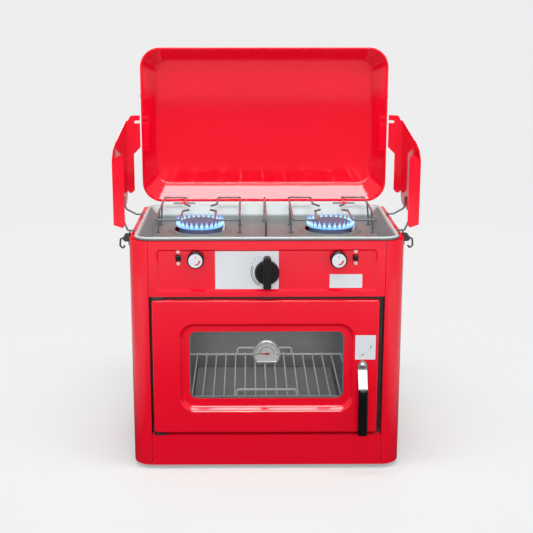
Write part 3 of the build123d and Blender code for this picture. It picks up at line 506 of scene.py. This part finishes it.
dialPlate = {"left": -84, "right": 19, "low": 314.4, "high": 377.6, "corner": 0.6, "edge": 0.12,
             "bed": 3.0, "thick": 0.4, "ink": 0.08, "knobZ": 343,
             "bands": ((0, 25.5, 26.5, 240, 155), (0.8, 24, 24.7, 240, 158)),  # middle, radii, angles
             "dots": (29, 148, 118, 3, 0.7)}  # radius, angles, count, size
barePlate = {"left": 102, "right": 155, "low": 316, "high": 339, "corner": 0.6, "edge": 0.12,
             "bed": 3.0, "thick": 0.4}


def controlPlates():
    knobZ = dialPlate["knobZ"]
    plates = [plate(dialPlate), plate(barePlate)]
    keep(slabs("controlPlates", "white", plates), "cabinet")
    bands = [arcBand(x, knobZ, r0, r1, start, end) for x, r0, r1, start, end in dialPlate["bands"]]
    marks = inked(bands + dots(0, knobZ, *dialPlate["dots"]), dialPlate)
    keep(slabs("dialMarks", "ink", marks), "cabinet")


controlPlates()


# white faces with a red crescent on the burner knobs

knobFace = {"z": 366, "radius": 11.2, "steps": 48, "edge": 0.1, "bed": -15.0, "thick": 0.3, "ink": 0.08,
            "crescent": (5.6, 7.4, 5, -100, -0.7),  # radii, angles, widening
            "pointer": (0.7, 4.6, 7.6, 0.5)}  # half width, lower end, upper end, corner


def knobFaces():
    z = knobFace["z"]
    half, foot, tip, corner = knobFace["pointer"]
    for body in ("knob_left", "knob_right"):
        low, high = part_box(body)
        x = (low.x + high.x) / 2 / mm
        disc = circle(x, z, knobFace["radius"], knobFace["steps"])
        face = (disc, knobFace["bed"] - knobFace["thick"], knobFace["bed"], knobFace["edge"])
        keep(slabs(body + "Face", "white", [face]), body)
        crescent = arcBand(x, z, *knobFace["crescent"])
        pointer = roundedRect(x - half, x + half, z + foot, z + tip, corner, 3)
        keep(slabs(body + "Crescent", "redInk", inked([crescent, pointer], knobFace)), body)


knobFaces()


# door plate and thermometer dial

doorPlate = {"left": 145.5, "right": 179, "low": 194.5, "high": 236.5, "corner": 0.6, "edge": 0.1,
             "bed": -2.0, "thick": 0.3, "ink": 0.08, "middle": (149, 225),
             "rows": ((24, -8, -80, 12, 0.45), (24, -22, -68, 2, 1.3))}  # radius, angles, count, size
gauge = {"z": 203, "radius": 20.6, "flat": 189.4, "gap": 5, "flatShare": 0.85, "steps": 48,
         "bed": 4.0, "thick": 0.25, "ink": 0.06, "ticks": 25, "angles": (185, -5), "rim": 1.6,
         "long": (3.4, 0.42), "short": (2.0, 0.28), "band": (11.4, 12.2)}  # ticks: length, half width


def doorMarks():
    keep(slabs("doorPlate", "white", [plate(doorPlate)]), "door")
    spots = [spot for row in doorPlate["rows"] for spot in dots(*doorPlate["middle"], *row)]
    keep(slabs("doorDots", "ink", inked(spots, doorPlate)), "door")


def gaugeTick(turn, reach, wide):
    alongX, alongZ = math.cos(turn), math.sin(turn)
    outer = gauge["radius"] - gauge["rim"]
    inner = outer - reach
    return [(r * alongX - s * wide * alongZ, gauge["z"] + r * alongZ + s * wide * alongX)
            for r, s in ((inner, -1), (outer, -1), (outer, 1), (inner, 1))]


def gaugeDial():
    g = gauge
    half = math.degrees(math.asin((g["z"] - g["flat"]) / g["radius"])) - g["gap"]
    turns = [math.radians(-half + (180 + 2 * half) * i / g["steps"]) for i in range(g["steps"] + 1)]
    curve = [(g["radius"] * math.cos(turn), g["z"] + g["radius"] * math.sin(turn)) for turn in turns]
    flat = [(g["flatShare"] * curve[i][0], g["flat"]) for i in (-1, 0)]
    dial = (flat + curve, g["bed"] - g["thick"], g["bed"], 0)
    keep(slabs("gaugeDial", "gaugeWhite", [dial]), "door")
    first, last = g["angles"]
    ticks = []
    for i in range(g["ticks"]):
        turn = math.radians(first + (last - first) * i / (g["ticks"] - 1))
        ticks.append(gaugeTick(turn, *g["short" if i % 4 else "long"]))
    ticks.append(arcBand(0, g["z"], *g["band"], first, last))
    keep(slabs("gaugeTicks", "ink", inked(ticks, g)), "door")


doorMarks()
gaugeDial()
print("plates and dials made")


# geometry node trees

class Tree:
    def __init__(self, name, sizes):
        self.group = bpy.data.node_groups.new(name, "GeometryNodeTree")
        self.group.interface.new_socket("Geometry", in_out="INPUT", socket_type="NodeSocketGeometry")
        self.inputs = {}
        for label, value in sizes.items():
            socket = self.group.interface.new_socket(label, in_out="INPUT", socket_type="NodeSocketFloat")
            socket.default_value = value
            self.inputs[label] = socket.identifier
        self.group.interface.new_socket("Geometry", in_out="OUTPUT", socket_type="NodeSocketGeometry")
        self.start = self.node("NodeGroupInput")
        self.end = self.node("NodeGroupOutput")

    def node(self, kind, settings=None, sockets=None):
        made = self.group.nodes.new(kind)
        for key, value in (settings or {}).items():
            setattr(made, key, value)
        for key, value in (sockets or {}).items():
            if isinstance(value, bpy.types.NodeSocket):
                self.group.links.new(value, made.inputs[key])
            else:
                made.inputs[key].default_value = value
        return made

    def size(self, label):
        return self.start.outputs[label]

    def math(self, operation, first, second):
        return self.node("ShaderNodeMath", {"operation": operation}, {0: first, 1: second}).outputs[0]

    def vector(self, x, y, z):
        return self.node("ShaderNodeCombineXYZ", None, {0: x, 1: y, 2: z}).outputs[0]

    def shape(self, kind, sockets, settings=None):
        return self.node(kind, settings, sockets).outputs[0]

    def placeOnAims(self, shape, finish):  # one copy on each point, turned to the point's aim
        aim = self.node("GeometryNodeInputNamedAttribute", {"data_type": "FLOAT_VECTOR"}, {"Name": "aim"})
        turn = self.node("FunctionNodeAlignRotationToVector", {"axis": "Z"}, {"Vector": aim.outputs[0]})
        points = {"Points": self.start.outputs[0], "Instance": shape, "Rotation": turn.outputs[0]}
        placed = self.shape("GeometryNodeInstanceOnPoints", points)
        real = self.shape("GeometryNodeRealizeInstances", {0: placed})
        done = self.shape("GeometryNodeSetMaterial", {"Geometry": real, "Material": finishes[finish]})
        self.group.links.new(done, self.end.inputs[0])
        return self


def grown(name, points, aims, tree, sizes, finish):  # runs a tree on loose points and keeps a plain mesh
    seed = bpy.data.meshes.new(name + "Points")
    seed.from_pydata([tuple(p) for p in points], [], [])
    aim = seed.attributes.new("aim", "FLOAT_VECTOR", "POINT")
    for i, direction in enumerate(aims):
        aim.data[i].vector = direction
    holder = bpy.data.objects.new(name + "Points", seed)
    bpy.context.scene.collection.objects.link(holder)
    modifier = holder.modifiers.new(name, "NODES")
    modifier.node_group = tree.group
    for label, value in sizes.items():
        modifier[tree.inputs[label]] = value
    graph = bpy.context.evaluated_depsgraph_get()
    graph.update()
    mesh = bpy.data.meshes.new_from_object(holder.evaluated_get(graph))
    holder.modifiers.remove(modifier)
    bpy.data.objects.remove(holder)
    mesh.name = name
    return fromMesh(name, mesh, finish)


def domeHead(tree, segments):  # a ball flattened to the head's height
    ball = tree.shape("GeometryNodeMeshUVSphere",
                      {"Segments": segments, "Rings": 10, "Radius": tree.size("Radius")})
    flat = tree.vector(1.0, 1.0, tree.math("DIVIDE", tree.size("Height"), tree.size("Radius")))
    return tree.shape("GeometryNodeTransform", {"Geometry": ball, "Scale": flat})


def screwTree(finish):
    tree = Tree("screwHeads", {"Radius": 0.003, "Height": 0.0016, "Slot": 0.0007})
    head = domeHead(tree, 20)
    high, slot = tree.size("Height"), tree.size("Slot")
    arm = tree.math("MULTIPLY", tree.size("Radius"), 1.15)  # length of the slots of the cross
    lift = tree.vector(0.0, 0.0, high)
    for wide, deep in ((arm, slot), (slot, arm)):
        bar = tree.shape("GeometryNodeMeshCube", {"Size": tree.vector(wide, deep, high)})
        moved = tree.shape("GeometryNodeTransform", {"Geometry": bar, "Translation": lift})
        head = tree.shape("GeometryNodeMeshBoolean", {0: head, 1: moved}, {"operation": "DIFFERENCE"})
    return tree.placeOnAims(head, finish)


def rivetTree(finish):
    tree = Tree("rivetHeads", {"Radius": 0.003, "Height": 0.0015})
    return tree.placeOnAims(domeHead(tree, 18), finish)


front, back, up = Vector((0, -1, 0)), Vector((0, 1, 0)), Vector((0, 0, 1))
right = Vector((1, 0, 0))

screws = {"size": {"Radius": 0.003, "Height": 0.0015, "Slot": 0.00075},
          "edge": {"depth": 278, "z": (24, 200, 372)},  # along the rear edge of each side panel
          "rear": {"x": 186, "depth": 290, "z": (24, 120, 210, 300, 372)},
          "leaf": {"x": (137, 163), "depth": 291.4, "z": (379, 388)},  # lid hinges
          "low": {"x": (-100, 0, 100), "depth": 290, "z": 16},
          "igniter": {"x": 143.5, "depth": 3, "z": (357.2, 376.6)}}  # above and below each button


def cabinetScrews():
    edge, rear, leaf, low, igniter = (screws[key] for key in ("edge", "rear", "leaf", "low", "igniter"))
    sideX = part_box("side_panel_right")[1].x / mm
    heads = []
    for side in (-1, 1):
        heads += [(at(side * sideX, edge["depth"], z), right * side) for z in edge["z"]]
        heads += [(at(side * rear["x"], rear["depth"], z), back) for z in rear["z"]]
        heads += [(at(side * x, leaf["depth"], z), back) for x in leaf["x"] for z in leaf["z"]]
    heads += [(at(x, low["depth"], low["z"]), back) for x in low["x"]]
    places, aims = zip(*heads)
    row = grown("cabinetScrews", places, aims, screwTree("wire"), screws["size"], "wire")
    keep(row, "cabinet")
    spots = [at(side * igniter["x"], igniter["depth"], z) for side in (-1, 1) for z in igniter["z"]]
    row = grown("igniterScrews", spots, [front] * len(spots), screwTree("rack"), screws["size"], "rack")
    keep(row, "cabinet")


rivetHeads = {"tray": {"Radius": 0.0028, "Height": 0.0012}, "handle": {"Radius": 0.0052, "Height": 0.002},
              "spots": ((190, 163), (28, 258)),  # x and depth on the tray
              "lift": 0.8,  # from the tray's underside to its floor
              "eye": (-8, 186)}  # depth and z on the handle


def rivets():
    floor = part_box("drip_tray")[0].z / mm + rivetHeads["lift"]
    spots = [at(side * x, depth, floor) for side in (-1, 1) for x, depth in rivetHeads["spots"]]
    row = grown("trayRivets", spots, [up] * len(spots), rivetTree("tray"), rivetHeads["tray"], "tray")
    keep(row, "cabinet")
    low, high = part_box("door_handle")
    eye = at((low.x + high.x) / 2 / mm, *rivetHeads["eye"])
    row = grown("handleRivet", [eye], [front], rivetTree("steel"), rivetHeads["handle"], "steel")
    keep(row, "handle")


cabinetScrews()
rivets()
print("screws and rivets made")


# a ring of gas flames on each burner

flames = {"count": 28, "ring": 39.2, "lean": 0.14, "base": 384.6, "curve": 1.15, "pinch": 0.95,
          "rows": {"flameTips": (1, 16.0, 6.8), "flameFeet": (2, 6.5, 5.4)}}  # times count, height, width


def flameTree():  # a ball drawn out to a drop with a thin tip
    tree = Tree("flameRing", {"Tall": 0.012, "Wide": 0.003})
    ball = tree.shape("GeometryNodeMeshUVSphere", {"Segments": 12, "Rings": 10, "Radius": 0.5})
    place = tree.node("GeometryNodeInputPosition")
    split = tree.node("ShaderNodeSeparateXYZ", None, {0: place.outputs[0]})
    rise = tree.math("ADD", split.outputs[2], 0.5)
    taper = tree.math("MULTIPLY", tree.math("POWER", rise, flames["curve"]), flames["pinch"])
    width = tree.math("SUBTRACT", 1.0, taper)
    x, y = (tree.math("MULTIPLY", tree.math("MULTIPLY", split.outputs[i], width), tree.size("Wide"))
            for i in (0, 1))
    z = tree.math("MULTIPLY", rise, tree.size("Tall"))
    drop = tree.shape("GeometryNodeSetPosition", {"Geometry": ball, "Position": tree.vector(x, y, z)})
    return tree.placeOnAims(drop, "flame")


def burnerFlames():
    ring = flames["ring"]
    depth = (burner["y"] - frontY) / mm
    for name, (times, tall, wide) in flames["rows"].items():
        count = flames["count"] * times
        places, aims = [], []
        for side in (-1, 1):
            middle = side * burner["x"] / mm
            for i in range(count):
                turn = 2 * math.pi * (i + 0.5) / count
                out = Vector((math.cos(turn), math.sin(turn), 0))
                places.append(at(middle + ring * out.x, depth + ring * out.y, flames["base"]))
                aims.append((up + out * flames["lean"]).normalized())
        row = grown(name, places, aims, flameTree(), {"Tall": tall * mm, "Wide": wide * mm}, "flame")
        keep(row, "cabinet")


burnerFlames()
print("flames made")


# floor, light and camera

studio = {"floor": (0.69, 0.71, 0.71), "near": (0.07, 0.07, 0.07), "far": (0.72, 0.72, 0.72),
          "back": 0.885, "fill": 0.40, "plain": 0.93, "shadow": 0.62,
          "besideEdge": (0.5, 0.16), "farEdge": (1.15, 0.55), "shadowEdge": (0.42, 0.16)}  # edge, blur
backdrop = {"half": 7, "front": -6.0, "bend": 2.0, "radius": 1.5, "steps": 12, "top": 7.0}


def backdropSheet():  # a floor that curves up into a back wall
    bend, radius, steps = backdrop["bend"], backdrop["radius"], backdrop["steps"]
    profile = [(backdrop["front"], 0.0), (bend, 0.0)]
    for i in range(1, steps + 1):
        turn = math.pi / 2 * i / steps
        profile.append((bend + radius * math.sin(turn), radius - radius * math.cos(turn)))
    profile.append((bend + radius, backdrop["top"]))
    bm = bmesh.new()
    rows = [[bm.verts.new((side * backdrop["half"], y, z)) for side in (-1, 1)] for y, z in profile]
    for a, b in zip(rows, rows[1:]):
        face = bm.faces.new((a[0], a[1], b[1], b[0]))
        face.smooth = True
    mesh = bpy.data.meshes.new("floor")
    bm.to_mesh(mesh)
    bm.free()
    return mesh


def paleFloor():
    f = Finish("paleFloor")
    ray = f.node("ShaderNodeLightPath")
    direct = Val(f, ray.outputs["Is Camera Ray"]).math("MAXIMUM", ray.outputs["Is Transmission Ray"])
    reach = f.distance((0, 0, 0)) + f.grain(3, 2) * 0.02
    across = f.axis("X")
    beside = across.math("MAXIMUM", across * -1).above(*studio["besideEdge"])
    pale = beside.math("MAXIMUM", reach.above(*studio["farEdge"]))
    bounce = f.mix(pale, studio["near"], studio["far"])  # what the enamel mirrors
    f.set(colour=f.mix(direct, bounce, studio["floor"]), rough=0.9, specular=0.0)
    plain = f.node("ShaderNodeEmission", None, {"Color": (1, 1, 1), "Strength": studio["back"]})
    near = 1 - reach.above(*studio["shadowEdge"])
    f.blend(direct * (studio["plain"] - near * studio["shadow"]), f.shader, plain)  # keeps the shadow
    mesh = backdropSheet()
    mesh.materials.append(f.material)
    floor = bpy.data.objects.new("floor", mesh)
    bpy.context.scene.collection.objects.link(floor)


def studioWorld():
    world = bpy.data.worlds.new("studio")
    bpy.context.scene.world = world
    world.use_nodes = True
    nodes, links = world.node_tree.nodes, world.node_tree.links
    nodes.clear()
    out = nodes.new("ShaderNodeOutputWorld")
    ray = nodes.new("ShaderNodeLightPath")
    mix = nodes.new("ShaderNodeMixShader")
    for i, strength in ((1, studio["fill"]), (2, studio["back"])):
        sky = nodes.new("ShaderNodeBackground")
        sky.inputs[0].default_value = (1, 1, 1, 1)
        sky.inputs[1].default_value = strength
        links.new(sky.outputs[0], mix.inputs[i])
    seen = ray.outputs["Is Camera Ray"]
    for kind in ("Is Glossy Ray", "Is Transmission Ray"):
        either = nodes.new("ShaderNodeMath")
        either.operation = "MAXIMUM"
        links.new(seen, either.inputs[0])
        links.new(ray.outputs[kind], either.inputs[1])
        seen = either.outputs[0]
    links.new(seen, mix.inputs[0])
    links.new(mix.outputs[0], out.inputs[0])


lamps = {  # place, aim, size, power, spread
    "topSoft": ((0.0, -0.3, 2.0), (0, 0.0, 0.3), (1.5, 0.34), 23, 180),
    "lidSoft": ((0.0, -1.35, 2.05), (0, 0.19, 0.55), (1.6, 0.5), 1.6, 60),
    "frontSoft": ((0.0, -2.4, 1.0), (0, 0, 0.3), (1.3, 0.35), 26, 180),
    "backSoft": ((0.0, 1.8, 1.2), (0, 0.15, 0.35), (1.5, 0.6), 11, 180),
    "ovenSoft": ((0.0, -0.02, 0.283), (0, -0.02, 0.1), (0.28, 0.2), 0.2, 180),
    "leftStrip": ((-1.15, -0.8, 0.45), (-0.2, -0.1, 0.3), (0.7, 1.0), 3.4, 180),
    "rightStrip": ((1.15, -0.8, 0.45), (0.2, -0.1, 0.3), (0.7, 1.0), 3.4, 180),
}
unmirrored = ("leftStrip", "rightStrip")  # the shut lid would mirror them


def softLamp(name, place, aim, size, power, spread):
    data = bpy.data.lights.new(name, "AREA")
    data.shape = "RECTANGLE"
    data.size, data.size_y = size
    data.energy = power
    data.spread = math.radians(spread)
    lamp = bpy.data.objects.new(name, data)
    lamp.location = place
    lamp.visible_camera = False
    lamp.visible_glossy = name not in unmirrored
    lamp.rotation_euler = (Vector(aim) - Vector(place)).to_track_quat("-Z", "Y").to_euler()
    bpy.context.scene.collection.objects.link(lamp)


paleFloor()
studioWorld()
for lampName, settings in lamps.items():
    softLamp(lampName, *settings)

view = {"place": (-0.0316, -1.767, 0.7713), "pitch": 12.97, "turn": -0.49,
        "sensor": 36, "lens": 69.44, "shift": (0.0197, -0.054)}


def photoCamera():
    data = bpy.data.cameras.new("camera")
    data.sensor_width = view["sensor"]
    data.lens = view["lens"]
    data.shift_x, data.shift_y = view["shift"]
    camera = bpy.data.objects.new("camera", data)
    camera.location = view["place"]
    camera.rotation_euler = (math.radians(90 - view["pitch"]), 0, math.radians(view["turn"]))
    bpy.context.scene.collection.objects.link(camera)
    bpy.context.scene.camera = camera


photoCamera()
bpy.context.scene.view_settings.view_transform = "Standard"

print("scene done")
